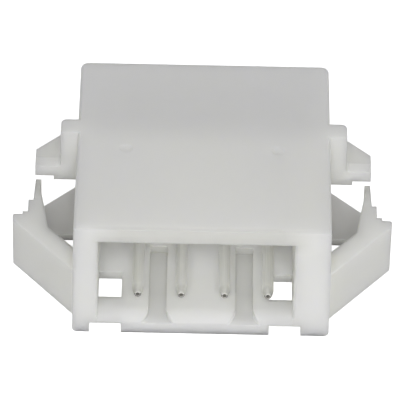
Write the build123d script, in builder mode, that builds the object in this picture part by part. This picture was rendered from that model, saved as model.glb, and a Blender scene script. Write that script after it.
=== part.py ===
from build123d import *
import math
import os

os.makedirs("parts", exist_ok=True)

# Panel-mount pin housing with four crimp contacts, in millimetres.
# X runs along the row of contacts, the mouth faces -Y and +Z is up.
# The origin is the middle of the underside of the whole part.

# Row of contacts
ways = 4
pitch = 2.5
pin_axis_height = 2.2

# Outside of the block, whose width follows from the row, the margins beside it and the walls
body_length = 15.2
body_height = 7.8
side_draft = 0.08
rear_corner_radius = 0.45
lower_edge_radius = 0.3
upper_edge_radius = 0.2

# Socket for the mating plug, offset to one side so that the plug only enters one way round
top_wall = 0.93
floor_wall = 1.25
left_wall = 1.46
right_wall = 2.11
left_margin = 2.3
right_margin = 1.45
socket_depth = 7.5
lead_in_depth = 0.85
lead_in_drop = 0.45
side_lead_in = 0.12

# Key grooves in the socket floor, which flare at the mouth
groove_width = 1.02
groove_depth = 0.52
groove_length = 6.2
groove_offset = 0.1
flare_length = 0.95
flare_spread = 0.42

# Slots in the underside and the windows that they open into the socket
slot_depth = 0.7
slot_length = 4.75
slot_under_wall = 0.48
slot_corner_radius = 0.2
window_width = 1.35
window_front = 1.66
window_length = 2.2

# Partition and contact cavities behind it
partition = 0.8
pin_hole_clearance = 0.07
cavity_clearance = 0.05
cavity_lead_in = 0.2
lance_pocket_height = 0.42
lance_pocket_clearance = 0.1
inner_wall = 0.7
outer_wall = 0.85
core_depth = 6.1

# Ears that stop against the panel, and the low shelves under them
ear_front = 8.6
ear_reach = 2.42
ear_side = 1.52
ear_underside = 4.48
ear_thickness = 0.7
ear_rib_reach = 0.92
ear_rib_length = 1.18
ear_rib_radius = 0.36
ear_pad_reach = 1.34
ear_pad_drop = 0.28
ear_web_radius = 0.2
shelf_thickness = 0.45
shelf_front = 8.0

# Swept-back latch arms with a stepped nose for panels of several thicknesses
arm_underside = 0.95
arm_height = 3.4
arm_root_front = 0.45
arm_root_rear = 2.4
arm_root_embed = 0.5
arm_reach = 3.59
arm_elbow = 4.8
arm_heel = 0.45
arm_elbow_radius = 0.2
arm_heel_radius = 0.15
nose_step_widths = (0.56, 0.3, 0.28)
nose_step_rises = (0.25, 1.04)
nose_tip_rise = 1.85
nose_tip_lean = 0.07
nose_tip_width = 0.33
nose_tip_straight = 0.93
nose_neck_length = 1.45
nose_neck_growth = 0.24
arm_knee_length = 1.85
arm_knee_growth = 0.28

# Round marks left on the top face by the mould's pins
mark_radius = 0.4
mark_depth = 0.12
mark_spacing = 8.8
mark_offset = -0.1
mark_setback = 7.27

# Contacts, folded from one strip
strip_thickness = 0.22
pin_diameter = 0.66
pin_root_diameter = 0.9
pin_root_length = 0.35
pin_tip_setback = 0.87
nose_length = 0.62
nose_curve_radius = 1.25
nose_end_diameter = 0.38
tube_bore = 0.26
tube_bore_depth = 1.2
contact_width = 1.7
contact_height = 1.84
shoulder_length = 0.55
box_length = 2.2
conductor_barrel_width = 1.25
conductor_barrel_height = 1.45
conductor_barrel_length = 1.5
insulation_barrel_width = 1.7
insulation_barrel_height = 1.84
insulation_barrel_length = 1.3
barrel_gap = 0.35
neck_width = 0.9
lance_width = 0.7
lance_length = 1.3
lance_rise = 0.3
lance_setback = 0.35

# One overrun serves every cut that has to pass through a face
overrun = 0.5

# Places that follow from the sizes above
socket_width = left_margin + (ways - 1) * pitch + right_margin
body_width = left_wall + socket_width + right_wall
side_x = body_width / 2
mouth_y = -body_length / 2
rear_y = body_length / 2
ceiling_z = body_height - top_wall
socket_left_x = -side_x + left_wall
socket_right_x = side_x - right_wall
socket_height = ceiling_z - floor_wall
socket_mid_x = (socket_left_x + socket_right_x) / 2
socket_mid_z = (ceiling_z + floor_wall) / 2
cavity_y = mouth_y + socket_depth + partition
cavity_width = contact_width + 2 * cavity_clearance
cavity_height = contact_height + 2 * cavity_clearance
cavity_depth = rear_y - cavity_y
cavity_top_z = pin_axis_height + cavity_height / 2
lance_pocket_top_z = cavity_top_z + lance_pocket_height
core_floor_z = lance_pocket_top_z + inner_wall
contact_xs = [socket_left_x + left_margin + i * pitch for i in range(ways)]
groove_xs = [
    (contact_xs[0] + contact_xs[1]) / 2 - groove_offset,
    (contact_xs[-2] + contact_xs[-1]) / 2 - groove_offset,
]
shoulder_y = cavity_y + cavity_clearance
box_front_y = shoulder_y + shoulder_length
box_rear_y = box_front_y + box_length
lance_end_y = box_rear_y - lance_setback
lance_pocket_length = lance_end_y + lance_pocket_clearance - (mouth_y + socket_depth)

mouth_plane = Plane.XZ.offset(-mouth_y)
rear_plane = Plane.XZ.offset(-rear_y)


def flare_curve(x_start, way):
    """Arc from the straight side of a groove out to its full width at the mouth."""
    spread_angle = 2 * math.atan(flare_spread / flare_length)
    radius = flare_length / math.sin(spread_angle)
    centre = (x_start + way * radius, mouth_y + flare_length)
    mid_angle = spread_angle / 2
    middle = (centre[0] - way * radius * math.cos(mid_angle), centre[1] - radius * math.sin(mid_angle))
    return (x_start, mouth_y + flare_length), middle, (x_start + way * flare_spread, mouth_y)


def arm_outline():
    """Plan of the right latch arm, from its front root round the nose to its rear root."""
    points = [(side_x - arm_root_embed, mouth_y + arm_root_front), (side_x, mouth_y + arm_root_front)]
    points.append((side_x + arm_reach, mouth_y + arm_elbow))
    x = side_x + arm_reach
    y = mouth_y + arm_elbow + arm_heel
    points.append((x, y))
    for width, rise in zip(nose_step_widths, nose_step_rises):
        x = x - width
        points.append((x, y))
        y = y + rise
        points.append((x, y))
    x = x - nose_step_widths[-1]
    points.append((x, y))
    tip_x = x - nose_tip_lean
    tip_y = y + nose_tip_rise
    points.append((tip_x, tip_y))
    inner_x = tip_x - nose_tip_width
    points.append((inner_x, tip_y))
    points.append((inner_x, tip_y - nose_tip_straight))
    knee_x = inner_x - nose_neck_growth
    knee_y = tip_y - nose_tip_straight - nose_neck_length
    points.append((knee_x, knee_y))
    bend_x = knee_x - arm_knee_growth
    bend_y = knee_y - arm_knee_length
    points.append((bend_x, bend_y))
    points.append((side_x, mouth_y + arm_root_rear))
    points.append((side_x - arm_root_embed, mouth_y + arm_root_rear))
    return points


def ear_outline(front):
    """Plan of a right ear, whose rear edge runs back to the block at 45 degrees."""
    rear_corner_y = mouth_y + ear_front + ear_side
    return [
        (side_x - overrun, mouth_y + front),
        (side_x + ear_reach, mouth_y + front),
        (side_x + ear_reach, rear_corner_y),
        (side_x - overrun, rear_corner_y + ear_reach + overrun),
    ]


# Housing: one moulding with the socket, the cavities, the ears and the latch arms
with BuildPart() as housing:
    # Block, whose sides lean in a little, rounded at its rear corners and along its long edges
    with BuildSketch(mouth_plane):
        with BuildLine():
            Polyline(
                (-side_x, 0),
                (side_x, 0),
                (side_x - side_draft, body_height),
                (side_draft - side_x, body_height),
                close=True,
            )
        make_face()
    extrude(amount=-body_length)
    rear_edges = housing.faces().sort_by(Axis.Y)[-1].edges().sort_by(Axis.X)
    fillet([rear_edges[0], rear_edges[-1]], radius=rear_corner_radius)
    fillet(housing.edges().filter_by(Axis.Y).group_by(Axis.Z)[0], radius=lower_edge_radius)
    fillet(housing.edges().filter_by(Axis.Y).group_by(Axis.Z)[-1], radius=upper_edge_radius)

    # Latch arms
    with BuildSketch(Plane.XY.offset(arm_underside)) as arm_plan:
        with BuildLine():
            Polyline(*arm_outline(), close=True)
        make_face()
        outermost = arm_plan.vertices().group_by(Axis.X)[-1]
        fillet(outermost.sort_by(Axis.Y)[0], radius=arm_elbow_radius)
        fillet(arm_plan.vertices().group_by(Axis.X)[-1].sort_by(Axis.Y)[-1], radius=arm_heel_radius)
        mirror(about=Plane.YZ)
    extrude(amount=arm_height)

    # Ears: a level web, a rib up to the top face and a pad under the web
    with BuildSketch(Plane.XY.offset(ear_underside)):
        with BuildLine():
            Polyline(*ear_outline(ear_front), close=True)
        make_face()
        mirror(about=Plane.YZ)
    extrude(amount=ear_thickness)
    with BuildSketch(Plane.XY.offset(ear_underside)) as rib_plan:
        rib_width = ear_rib_reach + overrun
        with Locations((side_x - overrun, mouth_y + ear_front)):
            Rectangle(rib_width, ear_rib_length, align=(Align.MIN, Align.MIN))
        fillet(rib_plan.vertices().group_by(Axis.X)[-1].sort_by(Axis.Y)[-1], radius=ear_rib_radius)
        mirror(about=Plane.YZ)
    extrude(amount=body_height - ear_underside)
    with BuildSketch(Plane.XY.offset(ear_underside - ear_pad_drop)):
        with Locations((side_x - overrun, mouth_y + ear_front)):
            Rectangle(ear_pad_reach + overrun, ear_rib_length, align=(Align.MIN, Align.MIN))
        mirror(about=Plane.YZ)
    extrude(amount=ear_pad_drop)
    rib_foot = [
        edge
        for edge in housing.edges().filter_by(Axis.Y)
        if math.isclose(abs(edge.center().X), side_x + ear_rib_reach, rel_tol=1e-6)
        and math.isclose(edge.center().Z, ear_underside + ear_thickness, rel_tol=1e-6)
    ]
    fillet(rib_foot, radius=ear_web_radius)

    # Low shelves, level with the underside
    with BuildSketch():
        with BuildLine():
            Polyline(*ear_outline(shelf_front), close=True)
        make_face()
        mirror(about=Plane.YZ)
    extrude(amount=shelf_thickness)

    # Socket
    with BuildSketch(mouth_plane):
        with Locations((socket_mid_x, socket_mid_z)):
            Rectangle(socket_width, socket_height)
    extrude(amount=-socket_depth, mode=Mode.SUBTRACT)

    # Curved lead-in along the floor of the mouth, and a small one up each side
    with BuildSketch(Plane.YZ.offset(socket_left_x)):
        with BuildLine():
            lead_in = TangentArc(
                (mouth_y + lead_in_depth, floor_wall),
                (mouth_y, floor_wall - lead_in_drop),
                tangent=(-1, 0),
            )
            Polyline(
                lead_in @ 1,
                (mouth_y - overrun, floor_wall - lead_in_drop),
                (mouth_y - overrun, floor_wall),
                lead_in @ 0,
            )
        make_face()
    extrude(amount=socket_width, mode=Mode.SUBTRACT)
    with BuildSketch(Plane.XY.offset(floor_wall)):
        with BuildLine():
            Polyline(
                (socket_mid_x, mouth_y - overrun),
                (socket_right_x + side_lead_in + overrun, mouth_y - overrun),
                (socket_right_x, mouth_y + side_lead_in),
                (socket_left_x, mouth_y + side_lead_in),
                (socket_left_x - side_lead_in - overrun, mouth_y - overrun),
                close=True,
            )
        make_face()
    extrude(amount=socket_height, mode=Mode.SUBTRACT)

    # Key grooves
    with BuildSketch(Plane.XY.offset(floor_wall - groove_depth)):
        for groove_x in groove_xs:
            left_x = groove_x - groove_width / 2
            right_x = groove_x + groove_width / 2
            with BuildLine():
                left_flare = ThreePointArc(*flare_curve(left_x, -1))
                right_flare = ThreePointArc(*flare_curve(right_x, 1))
                Polyline(
                    left_flare @ 0,
                    (left_x, mouth_y + groove_length),
                    (right_x, mouth_y + groove_length),
                    right_flare @ 0,
                )
                Polyline(
                    left_flare @ 1,
                    (groove_x - groove_width / 2 - flare_spread, mouth_y - overrun),
                    (groove_x + groove_width / 2 + flare_spread, mouth_y - overrun),
                    right_flare @ 1,
                )
            make_face()
    extrude(amount=groove_depth + overrun, mode=Mode.SUBTRACT)

    # Slots in the underside
    slot_width = slot_under_wall + window_width
    with BuildSketch(Plane.XY.offset(-overrun)) as slot_plan:
        with Locations((socket_left_x - slot_under_wall, mouth_y - overrun)):
            Rectangle(slot_width, slot_length + overrun, align=(Align.MIN, Align.MIN))
        with Locations((socket_right_x + slot_under_wall, mouth_y - overrun)):
            Rectangle(slot_width, slot_length + overrun, align=(Align.MAX, Align.MIN))
        fillet(slot_plan.vertices().group_by(Axis.Y)[-1], radius=slot_corner_radius)
    extrude(amount=slot_depth + overrun, mode=Mode.SUBTRACT)

    # Windows from the slots up into the socket
    with BuildSketch(Plane.XY.offset(slot_depth / 2)):
        with Locations((socket_left_x, mouth_y + window_front)):
            Rectangle(window_width, window_length, align=(Align.MIN, Align.MIN))
        with Locations((socket_right_x, mouth_y + window_front)):
            Rectangle(window_width, window_length, align=(Align.MAX, Align.MIN))
    extrude(amount=floor_wall, mode=Mode.SUBTRACT)

    # Contact cavities, with a lead-in at the rear
    with BuildSketch(rear_plane):
        with Locations(*[(x, pin_axis_height) for x in contact_xs]):
            Rectangle(cavity_width, cavity_height)
    extrude(amount=cavity_depth, mode=Mode.SUBTRACT)
    with BuildSketch(rear_plane):
        with Locations(*[(x, pin_axis_height) for x in contact_xs]):
            Rectangle(cavity_width + 2 * cavity_lead_in, cavity_height + 2 * cavity_lead_in)
    extrude(amount=cavity_lead_in, taper=45, mode=Mode.SUBTRACT)

    # Pin holes through the partition, and a pocket above each that the contact's lance springs into
    with BuildSketch(mouth_plane.offset(-socket_depth)):
        with Locations(*[(x, pin_axis_height) for x in contact_xs]):
            Circle(pin_root_diameter / 2 + pin_hole_clearance)
    extrude(amount=-partition, mode=Mode.SUBTRACT)
    with BuildSketch(mouth_plane.offset(-socket_depth)):
        with Locations(*[(x, (cavity_top_z + lance_pocket_top_z) / 2) for x in contact_xs]):
            Rectangle(lance_width + 2 * lance_pocket_clearance, lance_pocket_height)
    extrude(amount=-lance_pocket_length, mode=Mode.SUBTRACT)

    # Rear pockets that keep the walls even: one above each cavity and one in each thick side
    core_height = ceiling_z - core_floor_z
    left_core_edge = contact_xs[0] - cavity_width / 2 - inner_wall
    right_core_edge = contact_xs[-1] + cavity_width / 2 + inner_wall
    with BuildSketch(rear_plane):
        with Locations(*[(x, (ceiling_z + core_floor_z) / 2) for x in contact_xs]):
            Rectangle(cavity_width, core_height)
        with Locations(((left_core_edge - side_x + outer_wall) / 2, (ceiling_z + floor_wall) / 2)):
            Rectangle(left_core_edge + side_x - outer_wall, socket_height)
        with Locations(((right_core_edge + side_x - outer_wall) / 2, (ceiling_z + floor_wall) / 2)):
            Rectangle(side_x - outer_wall - right_core_edge, socket_height)
    extrude(amount=core_depth, mode=Mode.SUBTRACT)

    # Shallow round marks in the top face
    mark_ball = (mark_radius**2 + mark_depth**2) / (2 * mark_depth)
    mark_xs = [mark_offset - mark_spacing / 2, mark_offset + mark_spacing / 2]
    mark_y = mouth_y + mark_setback
    with Locations(*[(x, mark_y, body_height + mark_ball - mark_depth) for x in mark_xs]):
        Sphere(mark_ball, mode=Mode.SUBTRACT)

housing.part.label = "housing"
export_step(housing.part, "parts/housing.step")


# Contact: a rolled pin, a folded box with a sprung lance, and two open crimp barrels
def barrel_section(width, height):
    """Open U of the strip, standing on the origin."""
    radius = width / 2
    inner = radius - strip_thickness
    with BuildSketch() as section:
        with BuildLine():
            outer_arc = ThreePointArc((-radius, radius), (0, 0), (radius, radius))
            inner_arc = ThreePointArc((-inner, radius), (0, strip_thickness), (inner, radius))
            Polyline(outer_arc @ 0, (-radius, height), (-inner, height), inner_arc @ 0)
            Polyline(outer_arc @ 1, (radius, height), (inner, height), inner_arc @ 1)
        make_face()
    return section.sketch


def make_contact(number, x):
    """Build and export the contact of one way."""
    axis = Axis((x, 0, pin_axis_height), (0, 1, 0))
    tip_y = mouth_y + pin_tip_setback
    root_y = mouth_y + socket_depth - pin_root_length
    floor_z = pin_axis_height - contact_height / 2
    top_z = pin_axis_height + contact_height / 2
    conductor_y = box_rear_y + barrel_gap
    insulation_y = conductor_y + conductor_barrel_length + barrel_gap
    end_y = insulation_y + insulation_barrel_length
    with BuildPart() as contact:
        # Pin with a bullet nose, rolled round a small bore, whose root widens through the partition
        with BuildSketch(Plane.XY.offset(pin_axis_height)):
            with BuildLine():
                nose = RadiusArc(
                    (x + nose_end_diameter / 2, tip_y),
                    (x + pin_diameter / 2, tip_y + nose_length),
                    -nose_curve_radius,
                )
                Polyline(
                    nose @ 1,
                    (x + pin_diameter / 2, root_y),
                    (x + pin_root_diameter / 2, shoulder_y),
                    (x + pin_diameter / 2, shoulder_y + shoulder_length / 2),
                    (x, shoulder_y + shoulder_length / 2),
                    (x, tip_y + tube_bore_depth),
                    (x + tube_bore / 2, tip_y + tube_bore_depth),
                    (x + tube_bore / 2, tip_y),
                    nose @ 0,
                )
            make_face()
        revolve(axis=axis)

        # Shoulder from the round pin to the box
        with BuildSketch(Plane.XZ.offset(-shoulder_y)):
            with Locations((x, pin_axis_height)):
                Circle(pin_root_diameter / 2)
        with BuildSketch(Plane.XZ.offset(-box_front_y)):
            with Locations((x, pin_axis_height)):
                RectangleRounded(contact_width, contact_height, strip_thickness)
        loft()

        # Folded box
        with BuildSketch(Plane.XZ.offset(-box_front_y)):
            with Locations((x, pin_axis_height)):
                RectangleRounded(contact_width, contact_height, strip_thickness)
                Rectangle(
                    contact_width - 2 * strip_thickness,
                    contact_height - 2 * strip_thickness,
                    mode=Mode.SUBTRACT,
                )
        extrude(amount=-box_length)

        # Sprung lance, rising towards the rear out of the top of the box
        lance_start_y = lance_end_y - lance_length
        with BuildSketch(Plane.YZ.offset(x - lance_width / 2)):
            with BuildLine():
                Polyline(
                    (lance_start_y, top_z),
                    (lance_end_y, top_z + lance_rise),
                    (lance_end_y, top_z + lance_rise - strip_thickness),
                    (lance_start_y, top_z - strip_thickness),
                    close=True,
                )
            make_face()
        extrude(amount=lance_width)

        # Flat neck that carries the barrels
        with BuildSketch(Plane.XZ.offset(-box_rear_y)):
            with Locations((x, floor_z)):
                Rectangle(neck_width, strip_thickness, align=(Align.CENTER, Align.MIN))
        extrude(amount=-(end_y - box_rear_y))

        # Open crimp barrels for the conductor and for its insulation
        with BuildSketch(Plane.XZ.offset(-conductor_y)):
            with Locations((x, floor_z)):
                add(barrel_section(conductor_barrel_width, conductor_barrel_height))
        extrude(amount=-conductor_barrel_length)
        with BuildSketch(Plane.XZ.offset(-insulation_y)):
            with Locations((x, floor_z)):
                add(barrel_section(insulation_barrel_width, insulation_barrel_height))
        extrude(amount=-insulation_barrel_length)
    name = f"contact_{number}"
    contact.part.label = name
    export_step(contact.part, f"parts/{name}.step")


for number, contact_x in enumerate(contact_xs, start=1):
    make_contact(number, contact_x)
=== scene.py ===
import math

import bpy
from mathutils import Matrix, Vector

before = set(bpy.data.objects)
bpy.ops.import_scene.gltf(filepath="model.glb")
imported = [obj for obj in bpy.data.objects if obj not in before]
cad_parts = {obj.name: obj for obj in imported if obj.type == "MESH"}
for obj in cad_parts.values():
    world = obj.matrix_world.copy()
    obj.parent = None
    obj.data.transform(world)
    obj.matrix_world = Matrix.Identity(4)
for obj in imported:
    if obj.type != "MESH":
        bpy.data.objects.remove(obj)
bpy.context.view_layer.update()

# The housing is one nylon moulding: block, keyed socket, ears and latch arms in one piece.
# Milky nylon takes in light at its edges. Its colour carries painted shade on the latch
# arms and their tips, the groove floors, the ear webs, the shelves and the mouth's lip,
# and painted light in the deep inside of the socket. The faces keep the mould's
# spark-eroded grain.
nylon_color = (0.943, 0.943, 0.888, 1.0)
nylon_shade = (0.918, 0.92, 0.863, 1.0)
nylon_roughness = 0.72
nylon_index = 1.53
nylon_scatter = 1.0
nylon_depth = 0.0024
nylon_bleed = (1.0, 1.0, 0.9)
nylon_edge = 0.00002
cloud_size = 0.006
cloud_detail = 3.0
cloud_low = 0.35
cloud_high = 0.65
grain_size = 0.00009
grain_detail = 2.0
grain_height = 0.000004
grain_strength = 0.35
edge_samples = 6

socket_low = 0.0006
socket_rear = -0.0001

# Painted light: the deep inside of the socket is toned lighter, standing in for light that
# comes through the thin walls.
inner_painted_light = (1.0, 1.0, 0.955, 1.0)
inner_start = -0.0042
inner_full = -0.0018
inner_side = 0.0064
inner_high = 0.0069

# Painted shade: the latch arms are toned darker where less light comes back from them.
arm_painted_shade = (0.865, 0.865, 0.815, 1.0)
arm_side = 0.00745
arm_low = 0.0009
arm_high = 0.0044
arm_edge = 0.00018
# Painted shade: the thin tips of the latch arms are toned much darker, as light passes
# through them.
arm_tip_painted_shade = (0.53, 0.53, 0.51, 1.0)
arm_tip_side = 0.0086
arm_tip_start = -0.0008
arm_tip_full = 0.0003
arm_tip_rear = 0.00095

# Painted shade: the key-groove floors and other low floor inside the socket are toned
# darker, as in a recess.
groove_painted_shade = (0.8, 0.8, 0.76, 1.0)
groove_side = 0.00596
groove_high = 0.0012
groove_start = -0.0064
groove_full = -0.005

# Painted shade: the outer webs of the ears are toned darker.
ear_web_painted_shade = (0.79, 0.79, 0.745, 1.0)
ear_web_start = 0.0083
ear_web_full = 0.0087
ear_web_low = 0.0044
ear_web_front = 0.0018

# Painted shade: the low shelves beside the block, under the ears and arms, are toned
# darker.
shelf_painted_shade = (0.77, 0.755, 0.695, 1.0)
shelf_side = 0.0074
shelf_high = 0.00055

# Painted shade: the lip above the mouth is toned darker, holding back its brightness along
# the front edge.
lip_painted_shade = (0.72, 0.72, 0.68, 1.0)
lip_start = -0.0072
lip_full = -0.00755
lip_low = 0.0062
lip_high = 0.0069
lip_side = 0.0064
lip_middle = 0.0046

# A mix node has sockets for every kind of value. These are its places for colours.
mix_share = 0
mix_under = 6
mix_over = 7
mix_result = 2


def math_node(tree, operation, value, *limits):
    node = tree.nodes.new("ShaderNodeMath")
    node.operation = operation
    tree.links.new(value, node.inputs[0])
    for number, limit in enumerate(limits, start=1):
        node.inputs[number].default_value = limit
    return node.outputs["Value"]


def above(tree, value, limit):
    return math_node(tree, "GREATER_THAN", value, limit)


def below(tree, value, limit):
    return math_node(tree, "LESS_THAN", value, limit)


def combine(tree, operation, *values):
    result = values[0]
    for value in values[1:]:
        node = tree.nodes.new("ShaderNodeMath")
        node.operation = operation
        tree.links.new(result, node.inputs[0])
        tree.links.new(value, node.inputs[1])
        result = node.outputs["Value"]
    return result


def overlap(tree, *masks):
    return combine(tree, "MULTIPLY", *masks)


def fade(tree, value, start, full):
    node = tree.nodes.new("ShaderNodeMapRange")
    node.inputs["From Min"].default_value = start
    node.inputs["From Max"].default_value = full
    tree.links.new(value, node.inputs["Value"])
    return node.outputs["Result"]


def between(tree, share, low, high):
    node = tree.nodes.new("ShaderNodeMapRange")
    node.inputs["To Min"].default_value = low
    node.inputs["To Max"].default_value = high
    tree.links.new(share, node.inputs["Value"])
    return node.outputs["Result"]


def noise(tree, place, size, detail):
    node = tree.nodes.new("ShaderNodeTexNoise")
    node.inputs["Scale"].default_value = 1 / size
    node.inputs["Detail"].default_value = detail
    tree.links.new(place, node.inputs["Vector"])
    return node.outputs["Fac"]


def ramp(tree, value, low, low_color, high, high_color):
    node = tree.nodes.new("ShaderNodeValToRGB")
    stops = node.color_ramp.elements
    stops[0].position = low
    stops[0].color = low_color
    stops[1].position = high
    stops[1].color = high_color
    tree.links.new(value, node.inputs["Fac"])
    return node.outputs["Color"]


def tone(tree, mask, under, color):
    node = tree.nodes.new("ShaderNodeMix")
    node.data_type = "RGBA"
    tree.links.new(mask, node.inputs[mix_share])
    tree.links.new(under, node.inputs[mix_under])
    node.inputs[mix_over].default_value = color
    return node.outputs[mix_result]


def bump(tree, value, height, strength):
    node = tree.nodes.new("ShaderNodeBump")
    node.inputs["Strength"].default_value = strength
    node.inputs["Distance"].default_value = height
    tree.links.new(value, node.inputs["Height"])
    return node


nylon = bpy.data.materials.new("milky_nylon")
nylon.use_nodes = True
tree = nylon.node_tree
nodes = tree.nodes
links = tree.links
shader = nodes["Principled BSDF"]
shader.inputs["Roughness"].default_value = nylon_roughness
shader.inputs["IOR"].default_value = nylon_index
shader.inputs["Subsurface Weight"].default_value = nylon_scatter
shader.inputs["Subsurface Radius"].default_value = nylon_bleed
shader.inputs["Subsurface Scale"].default_value = nylon_depth
where = nodes.new("ShaderNodeTexCoord").outputs["Object"]
cloud = noise(tree, where, cloud_size, cloud_detail)
tint = ramp(tree, cloud, cloud_low, nylon_shade, cloud_high, nylon_color)

spot = nodes.new("ShaderNodeSeparateXYZ")
links.new(where, spot.inputs["Vector"])
along = spot.outputs["Y"]
height = spot.outputs["Z"]
aside = math_node(tree, "ABSOLUTE", spot.outputs["X"])
# Painted light: the deep inside of the socket, faded in towards the rear.
inner_light_mask = overlap(
    tree,
    fade(tree, along, inner_start, inner_full),
    below(tree, along, socket_rear),
    below(tree, aside, inner_side),
    above(tree, height, socket_low),
    below(tree, height, inner_high),
)
# Where the latch arms get painted shade; the same mask also widens their edge softening.
arm = overlap(
    tree,
    below(tree, along, arm_tip_rear),
    above(tree, aside, arm_side),
    above(tree, height, arm_low),
    below(tree, height, arm_high),
)
# Where the arm tips get painted shade.
arm_tip_shade_mask = overlap(
    tree,
    arm,
    fade(tree, along, arm_tip_start, arm_tip_full),
    above(tree, aside, arm_tip_side),
)
# Where the low floor inside the socket gets painted shade.
groove_floor_shade_mask = overlap(
    tree,
    fade(tree, along, groove_start, groove_full),
    below(tree, along, socket_rear),
    below(tree, aside, groove_side),
    above(tree, height, socket_low),
    below(tree, height, groove_high),
)
# Where the ear webs get painted shade.
ear_web_shade_mask = overlap(
    tree,
    fade(tree, aside, ear_web_start, ear_web_full),
    above(tree, height, ear_web_low),
    above(tree, along, ear_web_front),
)
# Where the lip of the mouth gets painted shade.
lip_shade_mask = overlap(
    tree,
    fade(tree, along, lip_start, lip_full),
    fade(tree, height, lip_low, lip_high),
    fade(tree, aside, lip_side, lip_middle),
)
# Where the shelves get painted shade.
shelf_shade_mask = overlap(
    tree,
    above(tree, aside, shelf_side),
    below(tree, height, shelf_high),
)
# The base colour gets painted light in the deep socket and painted shade on the arms, arm
# tips, groove floors, ear webs, shelves and lip.
nylon_and_painted_light = tone(tree, inner_light_mask, tint, inner_painted_light)
nylon_and_painted_light = tone(tree, arm, nylon_and_painted_light, arm_painted_shade)
nylon_and_painted_light = tone(tree, arm_tip_shade_mask, nylon_and_painted_light, arm_tip_painted_shade)
nylon_and_painted_light = tone(tree, groove_floor_shade_mask, nylon_and_painted_light, groove_painted_shade)
nylon_and_painted_light = tone(tree, ear_web_shade_mask, nylon_and_painted_light, ear_web_painted_shade)
nylon_and_painted_light = tone(tree, shelf_shade_mask, nylon_and_painted_light, shelf_painted_shade)
nylon_and_painted_light = tone(tree, lip_shade_mask, nylon_and_painted_light, lip_painted_shade)
links.new(nylon_and_painted_light, shader.inputs["Base Color"])

grain = noise(tree, where, grain_size, grain_detail)
soft_edges = nodes.new("ShaderNodeBevel")
soft_edges.samples = edge_samples
links.new(between(tree, arm, nylon_edge, arm_edge), soft_edges.inputs["Radius"])
relief = bump(tree, grain, grain_height, grain_strength)
links.new(soft_edges.outputs["Normal"], relief.inputs["Normal"])
links.new(relief.outputs["Normal"], shader.inputs["Normal"])

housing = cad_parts["housing"]
housing.data.materials.clear()
housing.data.materials.append(nylon)

# The four contacts are stamped from brass strip, plated with dull tin and folded.
# Each pin is rolled into a tube, so fine lines run along it. The blunt nose is toned
# darker as painted shade that holds back the lamp's highlight, and the bore and the lower
# half of the cut end get painted shade.
tin_color = (0.92, 0.92, 0.905, 1.0)
tin_dull = (0.86, 0.86, 0.845, 1.0)
tin_metal = 1.0
tin_rough = 0.72
tin_smooth = 0.57
dull_low = 0.3
dull_high = 0.7
line_spacing = 0.00006
line_detail = 2.0
line_stretch = (1.0, 0.02, 1.0)
line_height = 0.000002
line_strength = 0.4

# Painted shade: the nose is toned darker, holding back the lamp's highlight on it.
nose_painted_shade = (0.62, 0.62, 0.595, 1.0)
nose_start = -0.0061
nose_full = -0.0066
# Painted shade: the bore inside the rolled pin is toned darker.
bore_painted_shade = (0.6, 0.59, 0.56, 1.0)
bore_radius = 0.00015
bore_rear = -0.0055
# Painted shade: the lower half of the cut end is dark, where shade falls.
cut_end_painted_shade = (0.18, 0.177, 0.165, 1.0)
cut_end_start = -0.0067
cut_end_full = -0.00672
cut_end_high = 0.00228
pin_pitch = 0.0025
first_pin = -0.00365
pin_height = 0.0022

tin = bpy.data.materials.new("tin_plate")
tin.use_nodes = True
tree = tin.node_tree
nodes = tree.nodes
links = tree.links
shader = nodes["Principled BSDF"]
shader.inputs["Metallic"].default_value = tin_metal
where = nodes.new("ShaderNodeTexCoord").outputs["Object"]
stretch = nodes.new("ShaderNodeMapping")
stretch.inputs["Scale"].default_value = line_stretch
links.new(where, stretch.inputs["Vector"])
lines = noise(tree, stretch.outputs["Vector"], line_spacing, line_detail)
tint = ramp(tree, lines, dull_low, tin_dull, dull_high, tin_color)

spot = nodes.new("ShaderNodeSeparateXYZ")
links.new(where, spot.inputs["Vector"])
along = spot.outputs["Y"]
height = spot.outputs["Z"]
from_first = math_node(tree, "SUBTRACT", spot.outputs["X"], first_pin)
from_nearest = math_node(tree, "WRAP", from_first, pin_pitch / 2, -pin_pitch / 2)
from_middle = math_node(tree, "SUBTRACT", height, pin_height)
from_axis = nodes.new("ShaderNodeCombineXYZ")
links.new(from_nearest, from_axis.inputs["X"])
links.new(from_middle, from_axis.inputs["Z"])
radius = nodes.new("ShaderNodeVectorMath")
radius.operation = "LENGTH"
links.new(from_axis.outputs["Vector"], radius.inputs[0])
# Where the nose gets painted shade.
nose_shade_mask = fade(tree, along, nose_start, nose_full)
# Where the lower half of the cut end gets painted shade.
cut_end_shade_mask = overlap(
    tree,
    fade(tree, along, cut_end_start, cut_end_full),
    below(tree, height, cut_end_high),
)
# Where the bore gets painted shade.
bore_shade_mask = overlap(
    tree,
    below(tree, radius.outputs["Value"], bore_radius),
    below(tree, along, bore_rear),
)
# The tin's base colour gets painted shade on the nose, the lower half of the cut end and
# the bore.
plating_and_painted_shade = tone(tree, nose_shade_mask, tint, nose_painted_shade)
plating_and_painted_shade = tone(tree, cut_end_shade_mask, plating_and_painted_shade, cut_end_painted_shade)
plating_and_painted_shade = tone(tree, bore_shade_mask, plating_and_painted_shade, bore_painted_shade)
links.new(plating_and_painted_shade, shader.inputs["Base Color"])
links.new(between(tree, lines, tin_rough, tin_smooth), shader.inputs["Roughness"])
relief = bump(tree, lines, line_height, line_strength)
links.new(relief.outputs["Normal"], shader.inputs["Normal"])

for name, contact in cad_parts.items():
    if name.startswith("contact_"):
        contact.data.materials.clear()
        contact.data.materials.append(tin)

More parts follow.
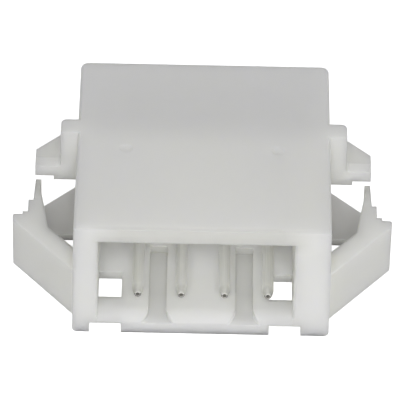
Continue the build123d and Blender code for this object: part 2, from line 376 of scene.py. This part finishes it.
# The floor is a plain pale sheet under the part.
# The camera and mirror reflections see it as white, with the part's shadow left on it.
# What lights the underside is only the sheet's own grey.
floor_size = 0.6
floor_gap = 0.00002
floor_grey = (0.82, 0.82, 0.82, 1.0)
floor_glow = 0.845


def seen_directly(tree):
    rays = tree.nodes.new("ShaderNodeLightPath").outputs
    return combine(
        tree,
        "MAXIMUM",
        rays["Is Camera Ray"],
        rays["Is Glossy Ray"],
        rays["Is Transmission Ray"],
    )


bpy.ops.mesh.primitive_plane_add(size=floor_size, location=(0, 0, -floor_gap))
floor = bpy.context.object
floor.name = "floor"
sheet = bpy.data.materials.new("pale_sheet")
sheet.use_nodes = True
nodes = sheet.node_tree.nodes
links = sheet.node_tree.links
nodes.remove(nodes["Principled BSDF"])
matt = nodes.new("ShaderNodeBsdfDiffuse")
matt.inputs["Color"].default_value = floor_grey
white = nodes.new("ShaderNodeEmission")
white.inputs["Strength"].default_value = floor_glow
white_and_shadow = nodes.new("ShaderNodeAddShader")
links.new(matt.outputs["BSDF"], white_and_shadow.inputs[0])
links.new(white.outputs["Emission"], white_and_shadow.inputs[1])
choice = nodes.new("ShaderNodeMixShader")
links.new(seen_directly(sheet.node_tree), choice.inputs["Fac"])
links.new(matt.outputs["BSDF"], choice.inputs[1])
links.new(white_and_shadow.outputs["Shader"], choice.inputs[2])
links.new(choice.outputs["Shader"], nodes["Material Output"].inputs["Surface"])
floor.data.materials.append(sheet)

# Studio light: an even surround, a soft lamp above the mouth that reaches into it, a weak
# broad one from the right, and a weak low one that keeps the rear face readable.
# The camera and mirror reflections see the surround as white.
white_color = (1.0, 1.0, 1.0, 1.0)
surround_strength = 0.21
backdrop_strength = 1.0
key_power = 0.75
key_size = 0.14
key_place = (0.0, -0.2783, 0.2453)
fill_power = 0.08
fill_size = 0.25
fill_place = (0.3, -0.1, 0.16)
rear_power = 0.12
rear_size = 0.1
rear_place = (-0.03, 0.36, 0.05)

world = bpy.data.worlds.new("surround")
bpy.context.scene.world = world
world.use_nodes = True
nodes = world.node_tree.nodes
links = world.node_tree.links
ambient = nodes["Background"]
ambient.inputs["Color"].default_value = white_color
ambient.inputs["Strength"].default_value = surround_strength
backdrop = nodes.new("ShaderNodeBackground")
backdrop.inputs["Color"].default_value = white_color
backdrop.inputs["Strength"].default_value = backdrop_strength
choice = nodes.new("ShaderNodeMixShader")
links.new(seen_directly(world.node_tree), choice.inputs["Fac"])
links.new(ambient.outputs["Background"], choice.inputs[1])
links.new(backdrop.outputs["Background"], choice.inputs[2])
links.new(choice.outputs["Shader"], nodes["World Output"].inputs["Surface"])

lamps = (
    ("key", key_place, key_size, key_power),
    ("fill", fill_place, fill_size, fill_power),
    ("rear", rear_place, rear_size, rear_power),
)
for name, place, size, power in lamps:
    light = bpy.data.lights.new(name, "AREA")
    light.shape = "DISK"
    light.size = size
    light.energy = power
    lamp = bpy.data.objects.new(name, light)
    lamp.location = place
    lamp.rotation_euler = Vector(place).to_track_quat("Z", "Y").to_euler()
    bpy.context.collection.objects.link(lamp)

# The camera looks down on the mouth from the photograph's angle, with a long lens.
elevation = math.radians(40.5)
azimuth = math.radians(-0.28)
roll = math.radians(1.32)
distance = 0.25
sensor_width = 36.0
focal_pixels = 4279.0
frame_pixels = 400.0
near_limit = 0.01
target = Vector((-0.000155, -0.0004, 0.00401))

outward = Vector((
    math.sin(azimuth) * math.cos(elevation),
    -math.cos(azimuth) * math.cos(elevation),
    math.sin(elevation),
))
level_right = Vector((math.cos(azimuth), math.sin(azimuth), 0.0))
level_up = outward.cross(level_right)
right = level_right * math.cos(roll) + level_up * math.sin(roll)
up = level_up * math.cos(roll) - level_right * math.sin(roll)
turn = Matrix((right, up, outward)).transposed()
lens = bpy.data.cameras.new("camera")
lens.sensor_width = sensor_width
lens.lens = focal_pixels / frame_pixels * sensor_width
lens.clip_start = near_limit
camera = bpy.data.objects.new("camera", lens)
camera.matrix_world = Matrix.Translation(target + outward * distance) @ turn.to_4x4()
bpy.context.collection.objects.link(camera)
bpy.context.scene.camera = camera

bpy.context.scene.view_settings.view_transform = "Standard"
